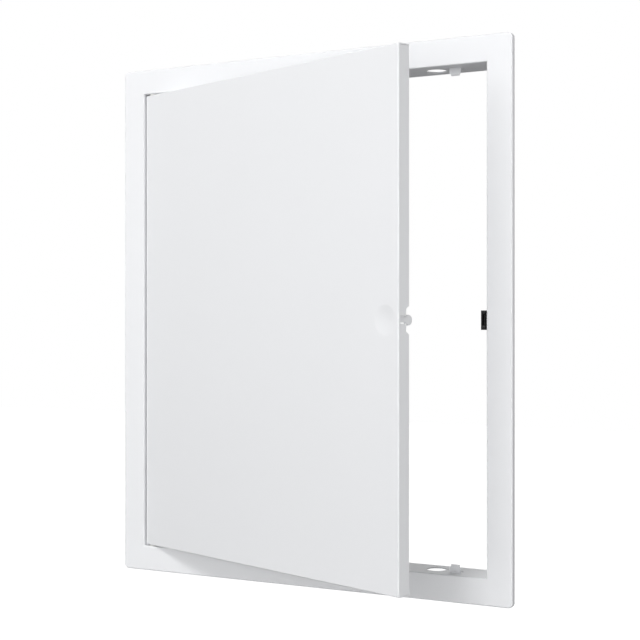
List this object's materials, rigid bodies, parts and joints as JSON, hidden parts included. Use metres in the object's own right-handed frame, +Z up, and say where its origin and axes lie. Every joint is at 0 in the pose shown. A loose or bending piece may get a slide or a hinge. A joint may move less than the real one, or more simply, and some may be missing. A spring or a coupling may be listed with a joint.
{
  "type": "access panel",
  "caption": "Flush steel access panel for a wall: flanged frame, folded leaf hung on pivot pins at the left, and a push-to-open touch latch at the right.",
  "frame": {"origin": "centre of the frame's opening, in the plane of the wall's face", "axes": "+X towards the latch side, +Y into the wall, +Z up"},
  "size_m": [0.275, 0.107, 0.33],
  "materials": {
    "paint": "white powder coat, satin",
    "zinc": "zinc plated",
    "nylon": "natural nylon",
    "black_plastic": "black moulded plastic"
  },
  "bodies": {
    "frame": {"frame": "paint", "hinge_pin_upper": "zinc", "hinge_pin_lower": "zinc", "hinge_washer_upper": "nylon", "hinge_washer_lower": "nylon", "hinge_clip_upper": "zinc", "hinge_clip_lower": "zinc", "latch_housing": "black_plastic", "latch_cover": "black_plastic", "latch_spring": "zinc", "latch_screw_upper": "zinc", "latch_screw_lower": "zinc"},
    "leaf": {"leaf": "paint", "strike": "paint"},
    "latch_slider": {"latch_slider": "black_plastic", "jaw_pin_upper": "zinc", "jaw_pin_lower": "zinc"},
    "latch_jaw_upper": {"latch_jaw_upper": "black_plastic"},
    "latch_jaw_lower": {"latch_jaw_lower": "black_plastic"},
    "cam_wire": {"cam_wire": "zinc"}
  },
  "joints": [
    {"name": "leaf_hinge", "type": "hinge", "parent": "frame", "child": "leaf", "pos_m": [-0.1156, 0.0005, 0], "axis": [0, 0, -1], "range_deg": [-20, 85]},
    {"name": "slider_slide", "type": "slide", "parent": "frame", "child": "latch_slider", "axis": [0, 1, 0], "range_m": [0, 0.0022], "stiffness_N_per_m": 300, "springref_m": -0.004, "deforming": ["latch_spring"]},
    {"name": "jaw_upper_pivot", "type": "hinge", "parent": "latch_slider", "child": "latch_jaw_upper", "pos_m": [0.1179, 0.0102, 0.00347], "axis": [1, 0, 0], "range_deg": [0, 6.5]},
    {"name": "jaw_lower_pivot", "type": "hinge", "parent": "latch_slider", "child": "latch_jaw_lower", "pos_m": [0.1179, 0.0102, -0.00347], "axis": [-1, 0, 0], "range_deg": [0, 6.5]},
    {"name": "cam_wire_pivot", "type": "hinge", "parent": "frame", "child": "cam_wire", "pos_m": [0.1152, 0.0202, 0], "axis": [-1, 0, 0], "range_deg": [0, 9.2]}
  ],
  "couplings": [
    {"joint": "jaw_upper_pivot", "follows": "slider_slide", "rad_per_m": 51.566},
    {"joint": "jaw_lower_pivot", "follows": "slider_slide", "rad_per_m": 51.566},
    {"joint": "cam_wire_pivot", "follows": "slider_slide", "rad_per_m": 72.986}
  ]
}
